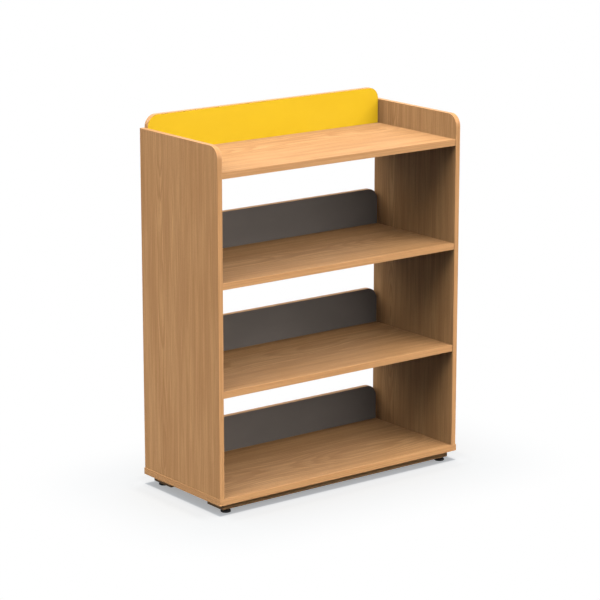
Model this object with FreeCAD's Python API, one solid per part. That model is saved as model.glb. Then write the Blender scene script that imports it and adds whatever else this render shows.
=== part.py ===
import FreeCAD, Part
import math
import os

# An open-backed shelving unit of oak-faced board: two sides on a base board, three fixed shelves,
# a low upstand at the rear of every level, two rails under the base and four levelling feet.
# X runs along the shelves, Y from front to back, Z up. The origin is on the floor, under the
# middle of the unit. All sizes are in millimetres.

# The unit as a whole
unit_width = 1000.0
unit_depth = 432.0
side_thickness = 18.0
side_corner_radius = 40.0
shelf_thickness = 22.0
shelf_pitch = 357.0
shelf_setback = 2.0
side_rise = 83.0
base_overhang = 2.0
level_names = ["base", "lower", "upper", "top"]

# The upstands at the rear of each level
upstand_height = 125.0
upstand_thickness = 18.0
upstand_corner_radius = 40.0
upstand_end_gap = 0.5

# Edge banding, and the small round along its outer edges
band_thickness = 1.0
band_easing = 0.6

# The two flat rails under the base
rail_thickness = 22.0
rail_end_inset = 22.0
front_rail_depth = 86.0
front_rail_setback = 17.0
rear_rail_depth = 98.0
rear_rail_setback = 22.0

# Levelling feet: a pad that swivels on the flange of a threaded stem
foot_drop = 12.0
foot_side_inset = 45.0
foot_front_inset = 32.0
foot_rear_inset = 45.0
pad_radius = 17.0
pad_height = 8.3
pad_rim_height = 6.0
pad_boss_radius = 9.5
pad_easing = 1.0
pad_key_hole_radius = 3.4
chamber_floor = 2.4
swivel_play = 0.1
stem_radius = 4.0
stem_length = 35.6
stem_chamfer = 0.8
flange_radius = 6.0
flange_thickness = 2.8
stem_key_flats = 5.0
stem_key_depth = 5.0
stem_bore_play = 0.5
stem_headroom = 4.0
insert_radius = 6.0
insert_length = 13.0
thread_play = 0.05

# Cam fittings: a bolt in the side is drawn in by a cam in the underside of the shelf
cam_line_inset = 60.0
cam_end_inset = 34.0
cam_radius = 7.5
cam_height = 17.0
cam_play = 0.1
cam_turn = 110.0
cam_slot_width = 1.6
cam_slot_length = 9.0
cam_slot_depth = 3.0
bolt_thread_radius = 2.5
bolt_thread_length = 11.0
bolt_shank_radius = 3.0
bolt_neck_radius = 2.0
bolt_head_radius = 3.3
bolt_head_length = 4.0

# Wooden dowels
dowel_radius = 4.0
dowel_length = 30.0
dowel_chamfer = 1.0
dowel_side_depth = 12.0
dowel_line_offset = 32.0
upstand_dowel_offset = 70.0

# Joint screws, up through the base and the shelves into the sides and the upstands
joint_screw_length = 60.0
joint_screw_head_radius = 5.0
joint_screw_head_depth = 4.0
joint_screw_shank_radius = 3.5
joint_screw_core_radius = 2.6
joint_screw_tip = 4.0
joint_screw_key_flats = 4.0
joint_screw_key_depth = 2.5
upstand_screw_inset = 90.0
upstand_screw_count = 3

# Rail screws, up through the rails into the base
rail_screw_length = 36.0
rail_screw_head_radius = 4.2
rail_screw_head_depth = 3.0
rail_screw_shank_radius = 2.25
rail_screw_core_radius = 1.7
rail_screw_tip = 3.0
rail_screw_key_flats = 3.0
rail_screw_key_depth = 1.8
rail_screw_inset = 100.0
rail_screw_count = 5

# Room between a fastener and its bore, on the radius and at the blind end
bore_play = 0.05
bore_end_gap = 0.5

# Modelling values
tolerance = 0.001
full_turn = 360.0
hexagon_sides = 6

# Places worked out from the sizes above
half_width = unit_width / 2
half_depth = unit_depth / 2
inner_half_width = half_width - side_thickness
rail_bottom = foot_drop
base_bottom = rail_bottom + rail_thickness
base_top = base_bottom + shelf_thickness
level_tops = [base_top + shelf_pitch * level for level in range(len(level_names))]
side_top = level_tops[-1] + side_rise
shelf_front = shelf_setback - half_depth
upstand_middle = half_depth - upstand_thickness / 2
side_middle = half_width - side_thickness / 2
bolt_reach = cam_end_inset + bolt_head_length / 2
up = FreeCAD.Vector(0, 0, 1)
right = FreeCAD.Vector(1, 0, 0)
backward = FreeCAD.Vector(0, 1, 0)


def block(x0, x1, y0, y1, z0, z1):
    """A box from its lowest to its highest corner."""
    return Part.makeBox(x1 - x0, y1 - y0, z1 - z0, FreeCAD.Vector(x0, y0, z0))


def turned(profile, start, direction):
    """A solid turned about a line. The profile holds (radius, distance along the line) pairs."""
    points = [FreeCAD.Vector(radius, 0, distance) for radius, distance in profile]
    face = Part.Face(Part.makePolygon(points + points[:1]))
    solid = face.revolve(FreeCAD.Vector(), up, full_turn)
    solid.Placement = FreeCAD.Placement(start, FreeCAD.Rotation(up, direction))
    return solid


def hexagon_prism(flats, depth, start, direction):
    """A hexagonal prism, measured across its flats."""
    corner_radius = flats / 2 / math.cos(math.pi / hexagon_sides)
    angles = [2 * math.pi * side / hexagon_sides for side in range(hexagon_sides)]
    points = [FreeCAD.Vector(corner_radius * math.cos(a), corner_radius * math.sin(a), 0) for a in angles]
    prism = Part.Face(Part.makePolygon(points + points[:1])).extrude(up * depth)
    prism.Placement = FreeCAD.Placement(start, FreeCAD.Rotation(up, direction))
    return prism


def outline(corners):
    """A closed wire through right-angled corners, given as (point, radius) pairs."""
    stops = []
    for index, (point, radius) in enumerate(corners):
        to_last = (corners[index - 1][0] - point).normalize()
        to_next = (corners[(index + 1) % len(corners)][0] - point).normalize()
        diagonal = to_last + to_next
        centre = point + diagonal * radius
        crown = centre - diagonal.normalize() * radius
        stops.append((point + to_last * radius, crown, point + to_next * radius, radius))
    edges = []
    for index, (enter, crown, leave, radius) in enumerate(stops):
        if radius > 0:
            edges.append(Part.Arc(enter, crown, leave).toShape())
        edges.append(Part.makeLine(leave, stops[(index + 1) % len(stops)][0]))
    return Part.Wire(edges)


def rim_edges(board, thin_side):
    """The edges round a standing board's two faces, without those along its foot."""
    foot = board.BoundBox.ZMin + tolerance
    return [e for e in board.Edges if getattr(e.BoundBox, thin_side) < tolerance and e.BoundBox.ZMax > foot]


def long_edges(board):
    """The edges of a box that run along X."""
    return [e for e in board.Edges if e.BoundBox.XLength > tolerance]


def banded_board(x0, x1, y0, y1, z0, z1, end_band):
    """A flat board's core and its banding strips. end_band is the banding at the ends, or zero."""
    whole = block(x0, x1, y0, y1, z0, z1)
    eased = whole.makeFillet(band_easing, whole.Edges if end_band > 0 else long_edges(whole))
    inner_front = y0 + band_thickness
    inner_rear = y1 - band_thickness
    core = block(x0 + end_band, x1 - end_band, inner_front, inner_rear, z0, z1)
    strips = [eased.common(block(x0, x1, y0, inner_front, z0, z1))]
    strips.append(eased.common(block(x0, x1, inner_rear, y1, z0, z1)))
    if end_band > 0:
        strips.append(eased.common(block(x0, x0 + end_band, inner_front, inner_rear, z0, z1)))
        strips.append(eased.common(block(x1 - end_band, x1, inner_front, inner_rear, z0, z1)))
    return core, strips


def side_prism(x, inset):
    """A side panel's shape, set in by a margin at the front, the top and the rear."""
    front = inset - half_depth
    rear = half_depth - inset
    top = side_top - inset
    corners = [
        (FreeCAD.Vector(x, front, base_top), 0),
        (FreeCAD.Vector(x, front, top), side_corner_radius - inset),
        (FreeCAD.Vector(x, rear, top), 0),
        (FreeCAD.Vector(x, rear, base_top), 0),
    ]
    return Part.Face(outline(corners)).extrude(right * side_thickness)


def banded_side(x):
    """A side panel whose low face is at x: its core and its two banding strips."""
    core = side_prism(x, band_thickness)
    whole = side_prism(x, 0)
    eased = whole.makeFillet(band_easing, rim_edges(whole, "XLength"))
    strip_top = side_top - band_thickness
    strip_front = half_depth - band_thickness
    rear_space = block(x, x + side_thickness, strip_front, half_depth, base_top, strip_top)
    rear_strip = eased.common(rear_space)
    front_strip = eased.cut([core, rear_space])
    return core, [front_strip, rear_strip]


def upstand_prism(foot, inset):
    """An upstand's shape, set in by a margin at its ends and its top."""
    end = inner_half_width - upstand_end_gap - inset
    top = foot + upstand_height - inset
    front = half_depth - upstand_thickness
    radius = upstand_corner_radius - inset
    corners = [
        (FreeCAD.Vector(-end, front, foot), 0),
        (FreeCAD.Vector(-end, front, top), radius),
        (FreeCAD.Vector(end, front, top), radius),
        (FreeCAD.Vector(end, front, foot), 0),
    ]
    return Part.Face(outline(corners)).extrude(backward * upstand_thickness)


def banded_upstand(foot):
    """An upstand's core and the one strip of banding that goes up, over and down."""
    core = upstand_prism(foot, band_thickness)
    whole = upstand_prism(foot, 0)
    eased = whole.makeFillet(band_easing, rim_edges(whole, "YLength"))
    return core, [eased.cut(core)]


def dowel(face_point, direction, depth_before):
    """A chamfered wooden dowel that starts before a joint's face, and its bore."""
    start = face_point - direction * depth_before
    end = dowel_length - dowel_chamfer
    tip_radius = dowel_radius - dowel_chamfer
    body = turned([(0, 0), (tip_radius, 0), (dowel_radius, dowel_chamfer), (dowel_radius, end),
                   (tip_radius, dowel_length), (0, dowel_length)], start, direction)
    bore_start = start - direction * bore_end_gap
    bore_length = dowel_length + 2 * bore_end_gap
    bore = Part.makeCylinder(dowel_radius + bore_play, bore_length, bore_start, direction)
    return body, bore


def screw(start, head_radius, head_depth, shank_radius, shank_length, core_radius, length, tip):
    """A countersunk screw driven upwards, without its key socket, and its bore."""
    def profile(play, end_gap):
        return [(0, 0), (head_radius + play, 0), (shank_radius + play, head_depth),
                (shank_radius + play, shank_length), (core_radius + play, shank_length),
                (core_radius + play, length - tip + end_gap), (0, length + end_gap)]
    return turned(profile(0, 0), start, up), turned(profile(bore_play, bore_end_gap), start, up)


def joint_screw(start):
    """A screw that joins a board to the edge of the board that stands on it."""
    body, bore = screw(start, joint_screw_head_radius, joint_screw_head_depth, joint_screw_shank_radius,
                       shelf_thickness, joint_screw_core_radius, joint_screw_length, joint_screw_tip)
    return body.cut(hexagon_prism(joint_screw_key_flats, joint_screw_key_depth, start, up)), bore


def rail_screw(start):
    """A screw that holds a rail to the base."""
    body, bore = screw(start, rail_screw_head_radius, rail_screw_head_depth, rail_screw_shank_radius,
                       rail_thickness, rail_screw_core_radius, rail_screw_length, rail_screw_tip)
    return body.cut(hexagon_prism(rail_screw_key_flats, rail_screw_key_depth, start, up)), bore


def cam_track(centre, outward):
    """What a cam is hollowed by: a chamber for the bolt's head, the passage that its neck leaves by, the
    window that the head came in by, and the slot between the two that the neck runs in as the cam turns."""
    head_room = bolt_head_radius + cam_play
    neck_room = bolt_neck_radius + cam_play
    chamber_radius = math.hypot(bolt_head_radius, bolt_head_length / 2) + cam_play
    reach = cam_radius + cam_play
    to_window = FreeCAD.Rotation(up, cam_turn).multVec(outward)
    slot = Part.makeCylinder(reach, 2 * neck_room, centre - up * neck_room, up, cam_turn)
    slot.rotate(centre, up, math.degrees(math.atan2(outward.y, outward.x)))
    chamber = Part.makeCylinder(chamber_radius, 2 * head_room, centre - up * head_room, up)
    passage = Part.makeCylinder(neck_room, reach, centre, outward)
    window = Part.makeCylinder(head_room, reach, centre, to_window)
    return [chamber, passage, window, slot]


def cam_fitting(side, y, underside):
    """A cam and its bolt at one end of a shelf, and their bores. side is -1 at the left, 1 at the right."""
    face_point = FreeCAD.Vector(side * inner_half_width, y, underside + shelf_thickness / 2)
    outward = right * side
    inward = right * -side
    neck_start = cam_end_inset - cam_radius - cam_play
    neck_end = bolt_reach - bolt_head_length
    bolt = turned([(0, -bolt_thread_length), (bolt_thread_radius, -bolt_thread_length),
                   (bolt_thread_radius, 0), (bolt_shank_radius, 0), (bolt_shank_radius, neck_start),
                   (bolt_neck_radius, neck_start), (bolt_neck_radius, neck_end),
                   (bolt_head_radius, neck_end), (bolt_head_radius, bolt_reach), (0, bolt_reach)],
                  face_point, inward)
    thread_bore = Part.makeCylinder(bolt_thread_radius + bore_play, bolt_thread_length + bore_end_gap,
                                    face_point, outward)
    shank_bore = Part.makeCylinder(bolt_head_radius + bore_play, bolt_reach + bore_end_gap,
                                   face_point, inward)
    cam_x = side * (inner_half_width - cam_end_inset)
    cam_foot = FreeCAD.Vector(cam_x, y, underside)
    driver_slot = block(cam_x - cam_slot_length / 2, cam_x + cam_slot_length / 2,
                        y - cam_slot_width / 2, y + cam_slot_width / 2,
                        underside, underside + cam_slot_depth)
    track = cam_track(cam_foot + up * (shelf_thickness / 2), outward)
    cam = Part.makeCylinder(cam_radius, cam_height, cam_foot, up).cut(track + [driver_slot])
    cam_bore = Part.makeCylinder(cam_radius + bore_play, cam_height + bore_end_gap, cam_foot, up)
    return cam, bolt, [thread_bore, shank_bore, cam_bore]


def spread(count, end):
    """Places evenly spread from -end to end."""
    return [end * (2 * index / (count - 1) - 1) for index in range(count)]


def foot_pad(centre):
    """A moulded pad with the chamber in which the stem's flange turns."""
    chamber_radius = flange_radius + swivel_play
    chamber_top = chamber_floor + flange_thickness + 2 * swivel_play
    neck_radius = stem_radius + swivel_play
    rim_radius = pad_radius - pad_easing
    return turned([(pad_key_hole_radius, 0), (rim_radius, 0), (pad_radius, pad_easing),
                   (pad_radius, pad_rim_height - pad_easing), (rim_radius, pad_rim_height),
                   (pad_boss_radius, pad_height), (neck_radius, pad_height), (neck_radius, chamber_top),
                   (chamber_radius, chamber_top), (chamber_radius, chamber_floor),
                   (pad_key_hole_radius, chamber_floor)], centre, up)


def foot_stem(centre):
    """A threaded stem with a flange at its foot and a key socket in its lower end."""
    foot = centre + up * (chamber_floor + swivel_play)
    straight = stem_length - stem_chamfer
    stem = turned([(0, 0), (flange_radius, 0), (flange_radius, flange_thickness),
                   (stem_radius, flange_thickness), (stem_radius, straight),
                   (stem_radius - stem_chamfer, stem_length), (0, stem_length)], foot, up)
    return stem.cut(hexagon_prism(stem_key_flats, stem_key_depth, foot, up))


def foot_insert(centre):
    """The threaded sleeve in the rail, and the bores for the sleeve and the stem above it."""
    mouth = centre + up * rail_bottom
    bore_radius = stem_radius + thread_play
    sleeve = turned([(bore_radius, 0), (insert_radius, 0), (insert_radius, insert_length),
                     (bore_radius, insert_length)], mouth, up)
    pocket = Part.makeCylinder(insert_radius + bore_play, insert_length, mouth, up)
    stem_top = chamber_floor + swivel_play + stem_length + stem_headroom
    passage = Part.makeCylinder(stem_radius + stem_bore_play, stem_top - rail_bottom, mouth, up)
    return sleeve, [pocket, passage]


def drilled(board, bores):
    """A board cut by every bore that reaches it."""
    near = [bore for bore in bores if bore.BoundBox.intersect(board.BoundBox)]
    return board.cut(near)


boards = {}
fittings = {}
bores = []


def add_boards():
    """The sides, the base, the shelves, the upstands and the rails, each with its banding."""
    for name, x in (("left", -half_width), ("right", inner_half_width)):
        core, strips = banded_side(x)
        boards[name + "_side_panel"] = core
        fittings[name + "_side_edge_band"] = strips
    base_x = half_width + base_overhang
    base_y = half_depth + base_overhang
    core, strips = banded_board(-base_x, base_x, -base_y, base_y, base_bottom, base_top, band_thickness)
    boards["base_panel"] = core
    fittings["base_edge_bands"] = strips
    for name, top in list(zip(level_names, level_tops))[1:]:
        core, strips = banded_board(-inner_half_width, inner_half_width, shelf_front, half_depth,
                                    top - shelf_thickness, top, 0)
        boards[name + "_shelf"] = core
        fittings[name + "_shelf_edge_bands"] = strips
    for name, top in zip(level_names, level_tops):
        core, strips = banded_upstand(top)
        boards[name + "_upstand"] = core
        fittings[name + "_upstand_edge_band"] = strips
    rail_end = half_width - rail_end_inset
    front = front_rail_setback - half_depth
    rear = half_depth - rear_rail_setback
    spans = {"front": (front, front + front_rail_depth), "rear": (rear - rear_rail_depth, rear)}
    for name, (y0, y1) in spans.items():
        core, strips = banded_board(-rail_end, rail_end, y0, y1, rail_bottom, base_bottom, band_thickness)
        boards[name + "_rail"] = core
        fittings[name + "_rail_edge_bands"] = strips
        add_rail_screws(name, (y0 + y1) / 2, rail_end - rail_screw_inset)


def add_rail_screws(name, y, end):
    """The screws along a rail's middle."""
    pairs = [rail_screw(FreeCAD.Vector(x, y, rail_bottom)) for x in spread(rail_screw_count, end)]
    fittings[name + "_rail_screws"] = [body for body, bore in pairs]
    bores.extend(bore for body, bore in pairs)


def add_shelf_fittings():
    """The cams, bolts and dowels at the two ends of each shelf."""
    cam_lines = [shelf_front + cam_line_inset, half_depth - cam_line_inset]
    dowel_lines = [cam_lines[0] + dowel_line_offset, cam_lines[1] - dowel_line_offset]
    for name, top in list(zip(level_names, level_tops))[1:]:
        cams, bolts, dowels = [], [], []
        underside = top - shelf_thickness
        for side in (-1, 1):
            for y in cam_lines:
                cam, bolt, holes = cam_fitting(side, y, underside)
                cams.append(cam)
                bolts.append(bolt)
                bores.extend(holes)
            for y in dowel_lines:
                face_point = FreeCAD.Vector(side * inner_half_width, y, underside + shelf_thickness / 2)
                body, bore = dowel(face_point, right * -side, dowel_side_depth)
                dowels.append(body)
                bores.append(bore)
        fittings[name + "_shelf_cams"] = cams
        fittings[name + "_shelf_cam_bolts"] = bolts
        fittings[name + "_shelf_dowels"] = dowels


def add_side_fittings():
    """The screws and dowels between the base and the feet of the sides."""
    screw_line = half_depth - cam_line_inset
    dowel_line = screw_line - dowel_line_offset
    places = [(side * side_middle, end) for side in (-1, 1) for end in (-1, 1)]
    screws = [joint_screw(FreeCAD.Vector(x, end * screw_line, base_bottom)) for x, end in places]
    dowels = [dowel(FreeCAD.Vector(x, end * dowel_line, base_top), up, dowel_side_depth)
              for x, end in places]
    fittings["side_panel_screws"] = [body for body, bore in screws]
    fittings["side_panel_dowels"] = [body for body, bore in dowels]
    bores.extend(bore for body, bore in screws + dowels)


def add_upstand_fittings():
    """The screws and dowels between each upstand and the board that it stands on."""
    end = inner_half_width - upstand_screw_inset
    dowel_end = end - upstand_dowel_offset
    for name, top in zip(level_names, level_tops):
        screws = [joint_screw(FreeCAD.Vector(x, upstand_middle, top - shelf_thickness))
                  for x in spread(upstand_screw_count, end)]
        dowels = [dowel(FreeCAD.Vector(x, upstand_middle, top), up, dowel_side_depth)
                  for x in (-dowel_end, dowel_end)]
        fittings[name + "_upstand_screws"] = [body for body, bore in screws]
        fittings[name + "_upstand_dowels"] = [body for body, bore in dowels]
        bores.extend(bore for body, bore in screws + dowels)


def add_feet():
    """The four levelling feet and the sleeves that they screw into."""
    sleeves = []
    lines = {"front": foot_front_inset - half_depth, "rear": half_depth - foot_rear_inset}
    for depth_name, y in lines.items():
        for side_name, side in (("left", -1), ("right", 1)):
            centre = FreeCAD.Vector(side * (half_width - foot_side_inset), y, 0)
            name = depth_name + "_" + side_name + "_foot"
            fittings[name + "_pad"] = [foot_pad(centre)]
            fittings[name + "_stem"] = [foot_stem(centre)]
            sleeve, holes = foot_insert(centre)
            sleeves.append(sleeve)
            bores.extend(holes)
    fittings["foot_inserts"] = sleeves


def save(name, solids):
    """One file for one node."""
    shape = solids[0] if len(solids) == 1 else Part.makeCompound(solids)
    shape.exportStep("parts/" + name + ".step")


add_boards()
add_shelf_fittings()
add_side_fittings()
add_upstand_fittings()
add_feet()
os.makedirs("parts", exist_ok=True)
for board_name, board in boards.items():
    save(board_name, [drilled(board, bores)])
for fitting_name, solids in fittings.items():
    save(fitting_name, solids)
print(len(boards) + len(fittings), "nodes")
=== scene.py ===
# %% [markdown]
# # A shelving unit in oak-faced board
#
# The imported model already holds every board, fitting and foot at its real size. This lesson gives
# each of them its finish, adds the threaded stems of the feet, and lights the unit softly on a
# pale floor. Every length is in metres. X runs along the shelves, Y from front to back, Z up, and
# the origin is on the floor under the middle of the unit.

# %% Load the frame
import math
import bpy
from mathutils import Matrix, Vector


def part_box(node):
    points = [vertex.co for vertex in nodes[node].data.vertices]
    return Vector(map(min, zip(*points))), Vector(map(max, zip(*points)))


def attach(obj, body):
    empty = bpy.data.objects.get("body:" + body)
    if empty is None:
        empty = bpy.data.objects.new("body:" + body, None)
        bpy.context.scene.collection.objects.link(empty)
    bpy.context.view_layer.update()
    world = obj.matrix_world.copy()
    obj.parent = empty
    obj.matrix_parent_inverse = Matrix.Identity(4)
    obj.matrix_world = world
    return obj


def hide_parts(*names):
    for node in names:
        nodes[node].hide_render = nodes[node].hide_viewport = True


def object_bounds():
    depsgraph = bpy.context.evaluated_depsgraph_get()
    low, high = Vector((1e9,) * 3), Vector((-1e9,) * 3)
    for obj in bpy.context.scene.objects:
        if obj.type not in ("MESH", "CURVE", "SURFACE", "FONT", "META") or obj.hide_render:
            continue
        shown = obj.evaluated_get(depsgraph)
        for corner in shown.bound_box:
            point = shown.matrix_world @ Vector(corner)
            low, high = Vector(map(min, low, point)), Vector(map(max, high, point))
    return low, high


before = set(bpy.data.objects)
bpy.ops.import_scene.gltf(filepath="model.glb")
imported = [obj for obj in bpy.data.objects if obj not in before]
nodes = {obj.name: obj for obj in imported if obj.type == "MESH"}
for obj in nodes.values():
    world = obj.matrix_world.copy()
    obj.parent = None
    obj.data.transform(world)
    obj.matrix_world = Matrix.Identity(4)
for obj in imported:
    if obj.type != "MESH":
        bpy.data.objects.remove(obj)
cad_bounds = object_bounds()

# %% [markdown]
# ## The camera
#
# A camera can be placed by eye, or worked out from straight edges that the photograph shows. Here
# it was worked out: the edges of the boards give its place, its turn and its dip, and the focal
# length comes in pixels. A sensor width turns pixels into a lens in millimetres.

# %% Place the camera
photo_pixels = 600
focal_pixels = 2490.5
camera_place = (-4.92727, -6.43789, 2.61687)
camera_turn_degrees = 37.3677
camera_dip_degrees = 13.9550

camera_data = bpy.data.cameras.new("camera")
camera_data.lens = camera_data.sensor_width * focal_pixels / photo_pixels
camera = bpy.data.objects.new("camera", camera_data)
bpy.context.scene.collection.objects.link(camera)
camera.location = camera_place
camera.rotation_euler = (math.radians(90 - camera_dip_degrees), 0, math.radians(-camera_turn_degrees))
bpy.context.scene.camera = camera
print("lens of", round(camera_data.lens, 1), "mm")

# %% [markdown]
# ## Short names for shader nodes
#
# A finish is a small network of nodes. Placing each one by hand takes three or four lines, so a
# few helpers come first: one sets or links a socket, and the others add one kind of node each and
# hand back its result. With them, a network reads like a sum.

# %% Helpers for node trees
def srgb(red, green, blue):
    """A colour as a screen shows it, from 0 to 255, turned into the linear values that shaders use."""
    shares = [channel / 255 for channel in (red, green, blue)]
    return (*[s / 12.92 if s <= 0.04045 else ((s + 0.055) / 1.055) ** 2.4 for s in shares], 1)


def feed(tree, socket, value):
    """Link a socket to another one, or set it to a plain value."""
    if isinstance(value, bpy.types.NodeSocket):
        tree.links.new(value, socket)
    else:
        socket.default_value = value


def calc(tree, operation, *values):
    """A sum on numbers."""
    node = tree.nodes.new("ShaderNodeMath")
    node.operation = operation
    for socket, value in zip(node.inputs, values):
        feed(tree, socket, value)
    return node.outputs[0]


def vector_calc(tree, operation, *values):
    """A sum on vectors."""
    node = tree.nodes.new("ShaderNodeVectorMath")
    node.operation = operation
    for socket, value in zip(node.inputs, values):
        feed(tree, socket, value)
    return node.outputs[0]


def noise(tree, place, detail=2.0, roughness=0.5):
    """Smooth noise at a place that is already stretched to the size wanted."""
    node = tree.nodes.new("ShaderNodeTexNoise")
    node.inputs["Scale"].default_value = 1
    node.inputs["Detail"].default_value = detail
    node.inputs["Roughness"].default_value = roughness
    feed(tree, node.inputs["Vector"], place)
    return node.outputs["Fac"]


def ramp(tree, value, low, high, start=0.0, end=1.0):
    """A value that goes softly from start to end while another goes from low to high."""
    node = tree.nodes.new("ShaderNodeMapRange")
    node.interpolation_type = "SMOOTHSTEP"
    for name, number in zip(("From Min", "From Max", "To Min", "To Max"), (low, high, start, end)):
        feed(tree, node.inputs[name], number)
    feed(tree, node.inputs["Value"], value)
    return node.outputs["Result"]


def tint(tree, share, colour, other):
    """One colour mixed into another by a share."""
    node = tree.nodes.new("ShaderNodeMix")
    node.data_type = "RGBA"
    feed(tree, node.inputs["Factor"], share)
    feed(tree, node.inputs["A"], colour)
    feed(tree, node.inputs["B"], other)
    return node.outputs["Result"]


# %% Helpers for node groups
def new_group(name, inputs, outputs):
    """A shader node group with named sockets: its tree, what it is given and what it gives."""
    tree = bpy.data.node_groups.new(name, "ShaderNodeTree")
    for label, kind in inputs.items():
        tree.interface.new_socket(name=label, in_out="INPUT", socket_type=kind)
    for label in outputs:
        tree.interface.new_socket(name=label, in_out="OUTPUT", socket_type="NodeSocketFloat")
    given = tree.nodes.new("NodeGroupInput").outputs
    results = tree.nodes.new("NodeGroupOutput").inputs
    print("group", name, "gives", ", ".join(outputs))
    return tree, given, results


def use_group(tree, group, **values):
    """A group placed in a material, with its own values. Returns its outputs."""
    node = tree.nodes.new("ShaderNodeGroup")
    node.node_tree = group
    for label, value in values.items():
        feed(tree, node.inputs[label.replace("_", " ")], value)
    return node.outputs


# %% [markdown]
# ## Oak figure
#
# The boards are faced with an oak decor. What the eye reads as oak is the way a saw meets the
# rings of a tree: straight lines where it cuts them steeply, and nested arches where it runs just
# under the bark side of the heart. A flat picture could show that, but a ring pattern worked out
# in space follows every face of a board without seams. So this group takes a place relative to
# the heart of the log (X along the grain) and measures how far from the heart it is. The log
# swings slowly towards the saw and away from it, and each ring that comes out that way closes to
# an arch. Finer noise gives bands, streaks, fibres and pores.

# %% Build the oak figure group
def build_oak_figure():
    tree, given, results = new_group(
        "oak figure",
        {"Place": "NodeSocketVector", "Ring width": "NodeSocketFloat", "Swing": "NodeSocketFloat",
         "Sample": "NodeSocketFloat"},
        ["Rings", "Bands", "Streaks", "Fibres", "Pores", "Cloud"],
    )
    shift = tree.nodes.new("ShaderNodeCombineXYZ")
    for axis in "XYZ":
        feed(tree, shift.inputs[axis], given["Sample"])
    place = vector_calc(tree, "ADD", given["Place"], shift.outputs["Vector"])

    def stretched(along, across):
        """Noise places that are long along the grain: how many grains of noise fit in a metre."""
        return vector_calc(tree, "MULTIPLY", place, (along, across, across))

    def wander(along, across, size):
        """A length that drifts slowly from place to place."""
        value = noise(tree, stretched(along, across), detail=1.0)
        return calc(tree, "MULTIPLY", calc(tree, "SUBTRACT", value, 0.5), size)

    parts = tree.nodes.new("ShaderNodeSeparateXYZ")
    feed(tree, parts.inputs["Vector"], given["Place"])
    sideways = calc(tree, "ADD", parts.outputs["Y"], wander(1.1, 3.0, 0.05))
    depth = calc(tree, "ADD", parts.outputs["Z"], wander(1.5, 2.0, given["Swing"]))
    squares = calc(tree, "ADD", calc(tree, "POWER", sideways, 2.0), calc(tree, "POWER", depth, 2.0))
    distance = calc(tree, "ADD", calc(tree, "SQRT", squares), wander(7.0, 70.0, 0.004))
    years = calc(tree, "DIVIDE", distance, given["Ring width"])
    uneven = calc(tree, "ADD", years, noise(tree, stretched(0.6, 55.0), detail=1.0))
    season = calc(tree, "FRACT", uneven)
    late = calc(tree, "MULTIPLY", ramp(tree, season, 0.25, 0.86), ramp(tree, season, 0.88, 1.0, 1.0, 0.0))
    feed(tree, results["Rings"], late)
    feed(tree, results["Bands"], noise(tree, stretched(2.0, 48.0), detail=1.0))
    feed(tree, results["Streaks"], noise(tree, stretched(6.0, 230.0), detail=2.0))
    feed(tree, results["Fibres"], noise(tree, stretched(14.0, 1100.0), detail=3.0))
    dashes = noise(tree, stretched(120.0, 2600.0), detail=1.0)
    early = ramp(tree, late, 0.0, 0.8, 1.0, 0.35)
    feed(tree, results["Pores"], calc(tree, "MULTIPLY", ramp(tree, dashes, 0.62, 0.72), early))
    feed(tree, results["Cloud"], noise(tree, stretched(1.3, 7.0), detail=2.0))
    return tree


oak_figure = build_oak_figure()

# %% [markdown]
# ## The rim of a board
#
# A band of edging is glued round each board, and where the two meet there is a hairline, a shade
# darker than both. It could be modelled as a groove, which would be a tenth of a millimetre wide.
# A mask is enough: this group measures how far a place on a board's face lies from the board's
# rim, also round a rounded top corner, and any finish can then darken what is near it.

# %% Build the rim group
def build_rim():
    tree, given, results = new_group(
        "board rim",
        {"Across": "NodeSocketFloat", "Up": "NodeSocketFloat", "Half width": "NodeSocketFloat",
         "Half height": "NodeSocketFloat", "Corner radius": "NodeSocketFloat",
         "Rounded end": "NodeSocketFloat"},
        ["Distance"],
    )
    at_rounded_end = calc(tree, "GREATER_THAN", calc(tree, "MULTIPLY", given["Across"],
                                                     given["Rounded end"]), -1e-6)
    at_top = calc(tree, "GREATER_THAN", given["Up"], 0.0)
    radius = calc(tree, "MULTIPLY", given["Corner radius"], calc(tree, "MULTIPLY", at_rounded_end, at_top))
    beyond = []
    for place, half in (("Across", "Half width"), ("Up", "Half height")):
        reach = calc(tree, "SUBTRACT", calc(tree, "ABSOLUTE", given[place]), given[half])
        beyond.append(calc(tree, "ADD", reach, radius))
    outside = [calc(tree, "MAXIMUM", value, 0.0) for value in beyond]
    squares = [calc(tree, "POWER", value, 2.0) for value in outside]
    corner = calc(tree, "SQRT", calc(tree, "ADD", squares[0], squares[1]))
    inside = calc(tree, "MINIMUM", calc(tree, "MAXIMUM", beyond[0], beyond[1]), 0.0)
    signed = calc(tree, "SUBTRACT", calc(tree, "ADD", corner, inside), radius)
    feed(tree, results["Distance"], calc(tree, "MULTIPLY", signed, -1.0))
    return tree


board_rim = build_rim()

# %% [markdown]
# ## Traces of handling
#
# No real surface has the same gloss all over. Hands leave soft smudges and cloths leave hairline
# scratches, both too faint to see as colour but enough to break up a reflection. One group makes
# both, and every finish below uses it for its roughness.

# %% Build the handling group
def build_handling():
    tree, given, results = new_group(
        "handling", {"Place": "NodeSocketVector"}, ["Smudges", "Scratches", "Peel"])
    smudges = noise(tree, vector_calc(tree, "MULTIPLY", given["Place"], (9.0, 9.0, 9.0)), detail=3.0)
    feed(tree, results["Smudges"], ramp(tree, smudges, 0.35, 0.7))
    slanted = vector_calc(tree, "MULTIPLY", given["Place"], (40.0, 900.0, 620.0))
    feed(tree, results["Scratches"], ramp(tree, noise(tree, slanted, detail=1.0), 0.66, 0.72))
    peel = vector_calc(tree, "MULTIPLY", given["Place"], (1500.0, 1500.0, 1500.0))
    feed(tree, results["Peel"], noise(tree, peel, detail=2.0))
    return tree


handling = build_handling()

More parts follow.
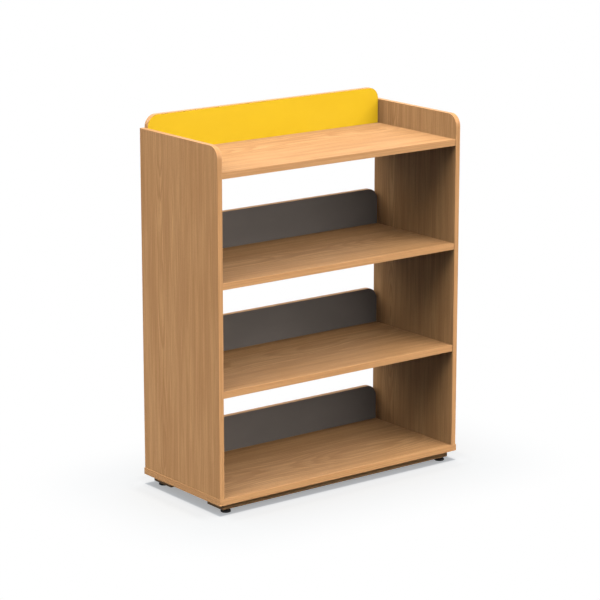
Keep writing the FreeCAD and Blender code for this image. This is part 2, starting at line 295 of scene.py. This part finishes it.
# %% [markdown]
# ## A plain start for each finish
#
# Every finish is a Principled shader that reads Object coordinates, which are the same as the
# unit's own X, Y and Z, because each piece's object sits at the origin. A helper makes that much,
# and another turns a height mask into a small bump.

# %% Helpers for finishes
def new_finish(name, sheen=0.5):
    """An empty finish: its material, its tree, its shader's inputs and the place on the unit."""
    material = bpy.data.materials.new(name)
    material.use_nodes = True
    tree = material.node_tree
    shader = tree.nodes["Principled BSDF"].inputs
    shader["Specular IOR Level"].default_value = sheen
    place = tree.nodes.new("ShaderNodeTexCoord").outputs["Object"]
    return material, tree, shader, place


def add_bump(tree, shader, height, depth):
    """A bump whose full height is the given depth in metres."""
    bump = tree.nodes.new("ShaderNodeBump")
    bump.inputs["Distance"].default_value = depth
    feed(tree, bump.inputs["Height"], height)
    feed(tree, shader["Normal"], bump.outputs["Normal"])


def dress(names, material):
    """Give a finish to whole nodes of the frame."""
    for name in names:
        for slot in nodes[name].material_slots:
            slot.material = material


# %% [markdown]
# ## Oak boards
#
# Each board is cut from another log, so each gets a finish of its own: the same network with
# another heart line and another sample of noise. On the sides the grain stands up, and on the
# shelves, the base and the rails it runs along the unit. The colour goes from the pale ground to
# the darker rings, then to the pores, and a glue line closes it at the rim.

# %% The oak board finish
oak_pale = srgb(223, 171, 118)
oak_late = srgb(184, 131, 82)
oak_warm = srgb(218, 165, 112)
oak_pore = srgb(158, 111, 70)
glue_brown = srgb(120, 80, 46)
satin_sheen = 0.15
glue_line = 0.00018
glue_share = 0.6


def oak_board(node, along, heart, heart_depth, ring_width, swing, sample, corner_radius=0.0,
              rounded_end=0.0):
    """The finish of one board. heart is the heart line's place across the board, from its middle."""
    low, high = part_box(node)
    middle = (low + high) / 2
    half = (high - low) / 2
    material, tree, shader, place = new_finish("oak " + node, satin_sheen)
    parts = tree.nodes.new("ShaderNodeSeparateXYZ")
    feed(tree, parts.inputs["Vector"], vector_calc(tree, "SUBTRACT", place, middle))
    up = "Z" if along == "Z" else "X"
    thin = "X" if along == "Z" else "Z"
    turned = tree.nodes.new("ShaderNodeCombineXYZ")
    feed(tree, turned.inputs["X"], parts.outputs[up])
    feed(tree, turned.inputs["Y"], calc(tree, "SUBTRACT", parts.outputs["Y"], heart))
    feed(tree, turned.inputs["Z"], calc(tree, "ADD", parts.outputs[thin], heart_depth))
    figure = use_group(tree, oak_figure, Place=turned.outputs["Vector"], Ring_width=ring_width,
                       Swing=swing, Sample=sample)
    rim = use_group(tree, board_rim, Across=parts.outputs["Y"], Up=parts.outputs[up],
                    Half_width=half.y, Half_height=half.z if along == "Z" else half.x,
                    Corner_radius=corner_radius, Rounded_end=rounded_end)
    marks = use_group(tree, handling, Place=place)
    ground = tint(tree, ramp(tree, figure["Cloud"], 0.3, 0.7), oak_pale, oak_warm)
    banded = tint(tree, ramp(tree, figure["Bands"], 0.38, 0.66, 0.0, 0.5), ground, oak_late)
    streaked = tint(tree, ramp(tree, figure["Streaks"], 0.35, 0.75, 0.0, 0.6), banded, oak_late)
    ringed = tint(tree, calc(tree, "MULTIPLY", figure["Rings"], 0.65), streaked, oak_late)
    fibred = tint(tree, ramp(tree, figure["Fibres"], 0.45, 0.8, 0.0, 0.45), ringed, oak_late)
    pored = tint(tree, calc(tree, "MULTIPLY", figure["Pores"], 0.7), fibred, oak_pore)
    glue = ramp(tree, rim["Distance"], 0.0, glue_line, glue_share, 0.0)
    feed(tree, shader["Base Color"], tint(tree, glue, pored, glue_brown))
    feed(tree, shader["Roughness"], calc(tree, "ADD", ramp(tree, figure["Fibres"], 0.3, 0.7, 0.46, 0.56),
                                         calc(tree, "MULTIPLY", marks["Smudges"], 0.05)))
    relief = calc(tree, "SUBTRACT", calc(tree, "MULTIPLY", figure["Fibres"], 0.5), figure["Pores"])
    add_bump(tree, shader, relief, 0.00003)
    return material


# %% Dress the oak boards
side_corner_radius = 0.039
board_cuts = {
    "left_side_panel": ("Z", 0.105, 0.036, 0.0062, 0.090, 3.0, side_corner_radius, -1.0),
    "right_side_panel": ("Z", 0.120, 0.036, 0.0062, 0.090, 17.0, side_corner_radius, -1.0),
    "base_panel": ("X", -0.060, 0.110, 0.0074, 0.120, 29.0),
    "lower_shelf": ("X", 0.060, 0.120, 0.0074, 0.120, 41.0),
    "upper_shelf": ("X", -0.010, 0.100, 0.0074, 0.120, 53.0),
    "top_shelf": ("X", 0.090, 0.120, 0.0078, 0.130, 67.0),
    "front_rail": ("X", 0.160, 0.050, 0.0065, 0.080, 71.0),
    "rear_rail": ("X", -0.190, 0.050, 0.0065, 0.080, 83.0),
}
for board, cut in board_cuts.items():
    dress([board], oak_board(board, *cut))
print(len(board_cuts), "oak boards dressed")

# %% [markdown]
# ## Oak edging
#
# Edging is a thin plastic strip with its own print: fine lines that run along the strip and never
# across it. On the sides and the upstands one strip goes round a rounded corner, and its lines
# turn with it. That needs no unwrapping. The lines change only over the strip's width, so noise
# that is fine in that one direction and very slow in the other two follows every bend.

# %% The oak edging finish
edging_pale = srgb(213, 158, 105)
edging_dark = srgb(194, 139, 88)


def oak_edging(name, width_axis, sample):
    """Edging whose lines change over its width, which lies along one axis."""
    material, tree, shader, place = new_finish(name, satin_sheen)
    fine = tuple(1300.0 if axis == width_axis else 11.0 for axis in "XYZ")
    broad = tuple(260.0 if axis == width_axis else 2.5 for axis in "XYZ")
    moved = vector_calc(tree, "ADD", place, (sample, sample, sample))
    lines = noise(tree, vector_calc(tree, "MULTIPLY", moved, fine), detail=3.0)
    bands = noise(tree, vector_calc(tree, "MULTIPLY", moved, broad), detail=2.0)
    marks = use_group(tree, handling, Place=place)
    banded = tint(tree, ramp(tree, bands, 0.35, 0.7, 0.0, 0.8), edging_pale, edging_dark)
    feed(tree, shader["Base Color"], tint(tree, ramp(tree, lines, 0.45, 0.75, 0.0, 0.5), banded, edging_dark))
    feed(tree, shader["Roughness"], calc(tree, "ADD", calc(tree, "MULTIPLY", marks["Smudges"], 0.06), 0.42))
    add_bump(tree, shader, lines, 0.00002)
    return material


# %% Dress the edging
levels = ("base", "lower", "upper", "top")
flat_boards = ["base_edge_bands", "front_rail_edge_bands", "rear_rail_edge_bands"]
flat_boards += [level + "_shelf_edge_bands" for level in levels[1:]]
dress(flat_boards, oak_edging("oak edging on flat boards", "Z", 5.0))
dress(["left_side_edge_band", "right_side_edge_band"], oak_edging("oak edging on sides", "X", 7.0))
dress([level + "_upstand_edge_band" for level in levels], oak_edging("oak edging on upstands", "Y", 9.0))
print(len(flat_boards) + 2 + len(levels), "sets of edging dressed")

# %% [markdown]
# ## Plain laminates
#
# The top upstand is yellow and the other three are dark grey, in the same satin laminate. A plain
# colour still has three things to show: the faint peel of a pressed surface, a cloud of slightly
# different tone, and gloss that changes where it has been touched.

# %% The laminate finish
upstand_corner_radius = 0.039
faint_glue_share = 0.2


def laminate(node, colour, cloud_colour):
    """A plain satin laminate on an upstand, with a glue line at its rim."""
    low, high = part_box(node)
    middle = (low + high) / 2
    half = (high - low) / 2
    material, tree, shader, place = new_finish("laminate " + node, satin_sheen)
    parts = tree.nodes.new("ShaderNodeSeparateXYZ")
    feed(tree, parts.inputs["Vector"], vector_calc(tree, "SUBTRACT", place, middle))
    rim = use_group(tree, board_rim, Across=parts.outputs["X"], Up=parts.outputs["Z"], Half_width=half.x,
                    Half_height=half.z, Corner_radius=upstand_corner_radius, Rounded_end=0.0)
    marks = use_group(tree, handling, Place=place)
    clouds = noise(tree, vector_calc(tree, "MULTIPLY", place, (4.0, 4.0, 7.0)), detail=3.0)
    toned = tint(tree, ramp(tree, clouds, 0.3, 0.7), colour, cloud_colour)
    glue = ramp(tree, rim["Distance"], 0.0, glue_line, faint_glue_share, 0.0)
    feed(tree, shader["Base Color"], tint(tree, glue, toned, glue_brown))
    gloss = calc(tree, "ADD", ramp(tree, marks["Smudges"], 0.0, 1.0, 0.40, 0.50),
                 calc(tree, "MULTIPLY", marks["Scratches"], 0.06))
    feed(tree, shader["Roughness"], gloss)
    add_bump(tree, shader, marks["Peel"], 0.00002)
    return material


# %% Dress the upstands
dress(["top_upstand"], laminate("top_upstand", srgb(250, 199, 38), srgb(247, 195, 36)))
for level in levels[:-1]:
    dress([level + "_upstand"], laminate(level + "_upstand", srgb(113, 103, 95), srgb(106, 97, 89)))
print(len(levels), "upstands dressed")

# %% [markdown]
# ## Metal, plastic and dowels
#
# The fittings are small and mostly hidden, but the heads of the screws, the cams and the feet show
# from below. Steel parts are zinc plated, which is bright with a cloudy, faintly yellow cast. The
# cams are cast zinc, greyer and rougher. The pads of the feet are black plastic with the fine
# texture of a spark-eroded mould. Dowels are ribbed beech.

# %% The finishes of the fittings
matt_sheen = 0.25


def metal(name, bright, dull, rough_low, rough_high, grain):
    """A metal whose colour and roughness both drift in small clouds."""
    material, tree, shader, place = new_finish(name)
    shader["Metallic"].default_value = 1
    clouds = noise(tree, vector_calc(tree, "MULTIPLY", place, (grain, grain, grain)), detail=3.0)
    marks = use_group(tree, handling, Place=place)
    feed(tree, shader["Base Color"], tint(tree, ramp(tree, clouds, 0.35, 0.65), bright, dull))
    feed(tree, shader["Roughness"], calc(tree, "ADD", ramp(tree, clouds, 0.3, 0.7, rough_low, rough_high),
                                         calc(tree, "MULTIPLY", marks["Scratches"], 0.1)))
    add_bump(tree, shader, marks["Peel"], 0.00001)
    return material


def moulded_plastic(name, colour, worn):
    """Plastic from a textured mould, paler where it is rubbed."""
    material, tree, shader, place = new_finish(name, matt_sheen)
    marks = use_group(tree, handling, Place=place)
    feed(tree, shader["Base Color"], tint(tree, calc(tree, "MULTIPLY", marks["Smudges"], 0.5), colour, worn))
    feed(tree, shader["Roughness"], ramp(tree, marks["Peel"], 0.3, 0.7, 0.5, 0.62))
    add_bump(tree, shader, marks["Peel"], 0.00006)
    return material


def beech(name, colour, ray):
    """Pale wood with the short dark rays of beech."""
    material, tree, shader, place = new_finish(name)
    rays = noise(tree, vector_calc(tree, "MULTIPLY", place, (500.0, 900.0, 500.0)), detail=2.0)
    feed(tree, shader["Base Color"], tint(tree, ramp(tree, rays, 0.5, 0.75), colour, ray))
    feed(tree, shader["Roughness"], ramp(tree, rays, 0.3, 0.7, 0.6, 0.75))
    add_bump(tree, shader, rays, 0.00005)
    return material


# %% Dress the fittings
zinc_steel = metal("zinc-plated steel", srgb(206, 208, 206), srgb(190, 187, 172), 0.24, 0.38, 260.0)
cast_zinc = metal("cast zinc", srgb(168, 170, 173), srgb(142, 144, 148), 0.42, 0.58, 420.0)
black_plastic = moulded_plastic("black moulded plastic", srgb(15, 15, 16), srgb(27, 27, 28))
beech_wood = beech("beech", srgb(214, 172, 126), srgb(176, 128, 84))
foot_names = ("front_left", "front_right", "rear_left", "rear_right")
for name in nodes:
    if name.endswith("_dowels"):
        dress([name], beech_wood)
    elif name.endswith("_cams"):
        dress([name], cast_zinc)
    elif name.endswith("_pad"):
        dress([name], black_plastic)
    elif name.endswith(("_bolts", "_screws", "_inserts", "_stem")):
        dress([name], zinc_steel)
print("fittings dressed")

# %% [markdown]
# ## Threaded stems
#
# Each foot screws in and out on a stem with a real thread, which shows as a foot is wound down. A
# helix could be drawn as a curve with a profile, but its ends then stay open. Here one tooth is
# drawn instead: three sides of a plane, whose outer side is narrowed to a crest. The Screw
# modifier turns it round the axis and lifts it by one pitch a turn, so the foot of each tooth
# meets the one before. Two cuts with fill close the ends, and a flange and a key socket follow.

# %% Helpers for modelling
def edit_mode():
    bpy.ops.object.mode_set(mode="EDIT")


def object_mode():
    bpy.ops.object.mode_set(mode="OBJECT")


def deselect_all():
    """Nothing selected, so that the next operator acts on new geometry alone."""
    bpy.ops.object.select_all(action="DESELECT")


def select_vertices(piece, test):
    """In edit mode, select the vertices whose place passes a test."""
    bpy.ops.mesh.select_all(action="DESELECT")
    object_mode()
    for vertex in piece.data.vertices:
        vertex.select = test(vertex.co)
    edit_mode()


def apply_modifier(piece, kind, **settings):
    """Add a modifier, set it up and apply it."""
    deselect_all()
    piece.select_set(True)
    bpy.context.view_layer.objects.active = piece
    modifier = piece.modifiers.new(kind.title(), kind)
    for label, value in settings.items():
        setattr(modifier, label, value)
    bpy.ops.object.modifier_apply(modifier=modifier.name)


# %% Draw one tooth and turn it into a thread
thread_radius = 0.004
thread_root_radius = 0.00323
thread_pitch = 0.00125
thread_steps = 24
crest_share = 0.125

stem_low, stem_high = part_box("front_left_foot_stem")
stem_centre = (stem_low + stem_high) / 2
stem_length = stem_high.z - stem_low.z
flange_radius = (stem_high.x - stem_low.x) / 2
flange_thickness = 0.0028
turns = math.ceil(stem_length / thread_pitch) + 2


def draw_thread():
    """A thread round the Z axis, longer than the stem at both ends."""
    deselect_all()
    bpy.ops.mesh.primitive_plane_add(size=1, rotation=(math.radians(90), 0, 0))
    piece = bpy.context.object
    bpy.ops.object.transform_apply(location=True, rotation=True, scale=True)
    edit_mode()
    tooth = (thread_radius - thread_root_radius, 1, thread_pitch)
    bpy.ops.transform.resize(value=tooth)
    bpy.ops.transform.translate(value=((thread_radius + thread_root_radius) / 2, 0, -thread_pitch))
    bpy.ops.mesh.delete(type="ONLY_FACE")
    middle = (thread_radius + thread_root_radius) / 2
    select_vertices(piece, lambda co: co.x < middle)
    bpy.ops.mesh.select_mode(type="EDGE")
    bpy.ops.mesh.delete(type="EDGE")
    bpy.ops.mesh.select_mode(type="VERT")
    select_vertices(piece, lambda co: co.x > middle)
    bpy.ops.transform.resize(value=(1, 1, crest_share))
    object_mode()
    apply_modifier(piece, "SCREW", axis="Z", screw_offset=thread_pitch, iterations=turns,
                   steps=thread_steps, render_steps=thread_steps, use_merge_vertices=True,
                   merge_threshold=1e-6)
    return piece


thread = draw_thread()
print("thread of", turns, "turns,", len(thread.data.polygons), "faces")

# %% [markdown]
# The thread is cut to the stem's length. Its top end is drawn in over the last turn, as a lead-in.
# The flange is a short cylinder with a bevelled rim, joined by a union, and the key socket is a
# six-sided cylinder taken away from it. The finished stem is copied to the four feet, and each
# copy keeps its place in its mesh.

# %% Close the thread and add the flange and the key socket
lead_in = 0.0012
lead_in_share = 0.8
flange_bevel = 0.0003
key_flats = 0.005
key_depth = 0.005
key_overrun = 0.001
cut_tolerance = 1e-7


def cut_flat(height, direction):
    """Cut the piece in edit mode at a height, close it, and drop what lies on one side."""
    bpy.ops.mesh.select_all(action="SELECT")
    bpy.ops.mesh.bisect(plane_co=(0, 0, height), plane_no=(0, 0, direction), use_fill=True,
                        clear_outer=True, threshold=cut_tolerance)


def finish_thread(piece):
    deselect_all()
    piece.select_set(True)
    bpy.context.view_layer.objects.active = piece
    edit_mode()
    cut_flat(flange_thickness / 2, -1)
    cut_flat(stem_length, 1)
    select_vertices(piece, lambda co: co.z > stem_length - lead_in)
    bpy.ops.transform.resize(value=(lead_in_share, lead_in_share, 1))
    bpy.ops.mesh.select_all(action="SELECT")
    bpy.ops.mesh.remove_doubles(threshold=1e-6)
    bpy.ops.mesh.normals_make_consistent(inside=False)
    object_mode()


def cylinder(sides, radius, low, high, turn=0.0):
    """A cylinder on the Z axis, from a primitive, with its place applied."""
    deselect_all()
    bpy.ops.mesh.primitive_cylinder_add(vertices=sides, radius=radius, depth=high - low,
                                        location=(0, 0, (low + high) / 2), rotation=(0, 0, turn))
    bpy.ops.object.transform_apply(location=True, rotation=True, scale=True)
    return bpy.context.object


def combine(piece, other, operation):
    """Add another piece to a piece, or take it away."""
    apply_modifier(piece, "BOOLEAN", object=other, operation=operation, solver="EXACT")
    bpy.data.objects.remove(other)


finish_thread(thread)
flange = cylinder(48, flange_radius, 0, flange_thickness)
apply_modifier(flange, "BEVEL", width=flange_bevel, segments=2, limit_method="ANGLE")
combine(thread, flange, "UNION")
key_socket = cylinder(6, key_flats / 2 / math.cos(math.pi / 6), -key_overrun, key_depth)
combine(thread, key_socket, "DIFFERENCE")
print("stem of", len(thread.data.polygons), "faces and", round(thread.dimensions.z * 1000, 1), "mm")

# %% Put a stem in each foot
def place_stem(foot):
    """A copy of the stem in one foot, in place of the plain one."""
    low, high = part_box(foot + "_foot_stem")
    stem = thread.copy()
    stem.data = thread.data.copy()
    stem.name = foot + "_threaded_stem"
    bpy.context.scene.collection.objects.link(stem)
    stem.location = ((low.x + high.x) / 2, (low.y + high.y) / 2, low.z)
    deselect_all()
    stem.select_set(True)
    bpy.context.view_layer.objects.active = stem
    bpy.ops.object.transform_apply(location=True, rotation=True, scale=True)
    bpy.ops.object.shade_smooth_by_angle(angle=math.radians(30))
    stem.data.materials.append(zinc_steel)
    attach(stem, foot + "_stem")
    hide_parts(foot + "_foot_stem")


for foot in foot_names:
    place_stem(foot)
bpy.data.objects.remove(thread)
print(len(foot_names), "stems placed")

# %% [markdown]
# ## Floor
#
# A pale floor with no edge in sight gives a clean studio background. Near the unit it is a matt
# white that takes the shadow, and a faint glow of its own keeps that shadow a light grey. Within
# half a metre of the unit's footprint it goes over into even white. The unit also keeps some of
# the world's light off the floor round it, and a narrow rim of half-white makes up for that. Only
# the camera and mirror-like rays see the glow and the white, so the background stays clean
# without any more light on the unit. To the light's own bounces the floor is a dark grey, as if
# the unit stood on a far larger and dimmer stage.

# %% Lay the floor
floor_span = 80.0
floor_white = (0.97, 0.925, 0.865, 1)
floor_glow = 0.36
bounce_grey = 0.15
shadow_inset = 0.009
rim_white = 0.40
plain_reach = 0.04
white_from = 0.46


def seen_directly(tree):
    """1 for what the camera sees by itself or through gloss and glass, 0 for the light's own bounces."""
    path = tree.nodes.new("ShaderNodeLightPath").outputs
    shiny = calc(tree, "MAXIMUM", path["Is Glossy Ray"], path["Is Transmission Ray"])
    direct = calc(tree, "LESS_THAN", path["Diffuse Depth"], 0.5)
    return calc(tree, "MULTIPLY", calc(tree, "MAXIMUM", path["Is Camera Ray"], shiny), direct)


def floor_finish():
    material, tree, shader, place = new_finish("studio floor")
    dim = (bounce_grey, bounce_grey, bounce_grey, 1)
    feed(tree, shader["Base Color"], tint(tree, seen_directly(tree), dim, floor_white))
    shader["Roughness"].default_value = 1
    shader["Specular IOR Level"].default_value = 0
    shader["Emission Color"].default_value = (1, 1, 1, 1)
    feed(tree, shader["Emission Strength"], calc(tree, "MULTIPLY", seen_directly(tree), floor_glow))
    low, high = cad_bounds
    footprint = (high[0] - shadow_inset, (high[1] - low[1]) / 2 - shadow_inset, 1)
    beyond = vector_calc(tree, "SUBTRACT", vector_calc(tree, "ABSOLUTE", place), footprint)
    measure = tree.nodes.new("ShaderNodeVectorMath")
    measure.operation = "LENGTH"
    feed(tree, measure.inputs[0], vector_calc(tree, "MAXIMUM", beyond, (0, 0, 0)))
    distance = measure.outputs["Value"]
    rim = calc(tree, "MULTIPLY", ramp(tree, distance, 0.0, 0.016, 0.0, rim_white),
               ramp(tree, distance, 0.030, 0.070, 1.0, 0.0))
    far = calc(tree, "MAXIMUM", rim, ramp(tree, distance, plain_reach, white_from))
    white = tree.nodes.new("ShaderNodeEmission")
    mix = tree.nodes.new("ShaderNodeMixShader")
    feed(tree, mix.inputs["Fac"], calc(tree, "MULTIPLY", far, seen_directly(tree)))
    feed(tree, mix.inputs[1], tree.nodes["Principled BSDF"].outputs["BSDF"])
    feed(tree, mix.inputs[2], white.outputs["Emission"])
    feed(tree, tree.nodes["Material Output"].inputs["Surface"], mix.outputs["Shader"])
    return material


deselect_all()
bpy.ops.mesh.primitive_plane_add(size=floor_span)
floor = bpy.context.object
floor.name = "floor"
floor.data.materials.append(floor_finish())
print("floor of", floor_span, "m")

# %% [markdown]
# ## Light
#
# The shadow under the unit ends sharply and straight below its edges, so the key lamp is small and
# hangs right above. A wide lamp high at the front left fills the shelves from the front, and a
# wide one low at the front right reaches further in without touching the inner face of the right
# side. A weak one lifts the outer left side. The back has a lamp of its own, low and straight
# behind, so that the upstands keep it off the shelves. Sun lamps suit this: their light is as
# strong on the floor as on the top, and their angle sets how soft the shadows are. They light only
# what they reach directly, because light that bounced between the boards would wash out the fall
# from bright to dark inside the shelves. The world adds a faint and slightly cool light from all
# sides.
#
# A photographer keeps a lamp's light off a surface with a flag. Light linking does the same: each
# lamp but the key is kept off the floor, which leaves it one clean shadow. The front and side
# lamps are also kept off the rails, which lie in the shade of the base, and a faint lamp for the
# rails alone slants down past the base's edge, so that they lighten towards their lower edge. The
# coloured face of the top upstand has a lamp to itself too, more from the front, so that the right
# side throws little shade over it.

# %% Hang the lamps
def sun(name, strength, angle_degrees, from_point, pieces=(), link="EXCLUDE"):
    """A directional lamp that shines from a point towards the origin. A strength of 1 is white.

    It lights everything but the pieces, or with link="INCLUDE" nothing but them.
    """
    lamp = bpy.data.lights.new(name, "SUN")
    lamp.energy = strength * math.pi
    lamp.angle = math.radians(angle_degrees)
    lamp.cycles.max_bounces = 0
    lamp.cycles.use_multiple_importance_sampling = False
    holder = bpy.data.objects.new(name, lamp)
    bpy.context.scene.collection.objects.link(holder)
    holder.rotation_euler = Vector(from_point).to_track_quat("Z", "Y").to_euler()
    if pieces:
        flags = bpy.data.collections.new(name + " flags")
        for piece in pieces:
            flags.objects.link(piece)
        holder.light_linking.receiver_collection = flags
        for entry in flags.collection_objects:
            entry.light_linking.link_state = link
    print(name, "at strength", strength, "with", len(pieces), "pieces linked to", link.lower())


rails = [nodes[name] for name in nodes if name.startswith(("front_rail", "rear_rail"))]
coloured_face = nodes["top_upstand"]
key_strength = 0.44
fill_strength = 0.62
front_strength = 1.17
upstand_strength = 0.75
rail_strength = 0.26
side_strength = 0.43
back_strength = 0.55
world_strength = 0.22
world_colour = (0.82, 1.04, 1.32, 1)
sun("key lamp", key_strength, 8, (0, 0, 1.0))
sun("fill lamp", fill_strength, 58, (-0.31, -0.21, 1.0), [floor])
sun("front lamp", front_strength, 80, (0.45, -0.85, 0.25), [floor, coloured_face, *rails])
sun("upstand lamp", upstand_strength, 32, (0.05, -1.0, 0.25), [coloured_face], "INCLUDE")
sun("rail lamp", rail_strength, 28, (0.3, -0.85, 0.75), rails, "INCLUDE")
sun("side lamp", side_strength, 50, (-1.0, 0.1, 0.6), [floor, *rails])
sun("back lamp", back_strength, 4, (0, 1.0, 0.14), [floor])

# %% Colour the world
world = bpy.data.worlds.new("studio")
bpy.context.scene.world = world
world.use_nodes = True
world_tree = world.node_tree
light = world_tree.nodes["Background"]
light.inputs["Color"].default_value = world_colour
light.inputs["Strength"].default_value = world_strength
backdrop = world_tree.nodes.new("ShaderNodeBackground")
backdrop.inputs["Color"].default_value = (1, 1, 1, 1)
world_mix = world_tree.nodes.new("ShaderNodeMixShader")
feed(world_tree, world_mix.inputs["Fac"], seen_directly(world_tree))
feed(world_tree, world_mix.inputs[1], light.outputs["Background"])
feed(world_tree, world_mix.inputs[2], backdrop.outputs["Background"])
feed(world_tree, world_tree.nodes["World Output"].inputs["Surface"], world_mix.outputs["Shader"])
bpy.context.scene.view_settings.view_transform = "Standard"
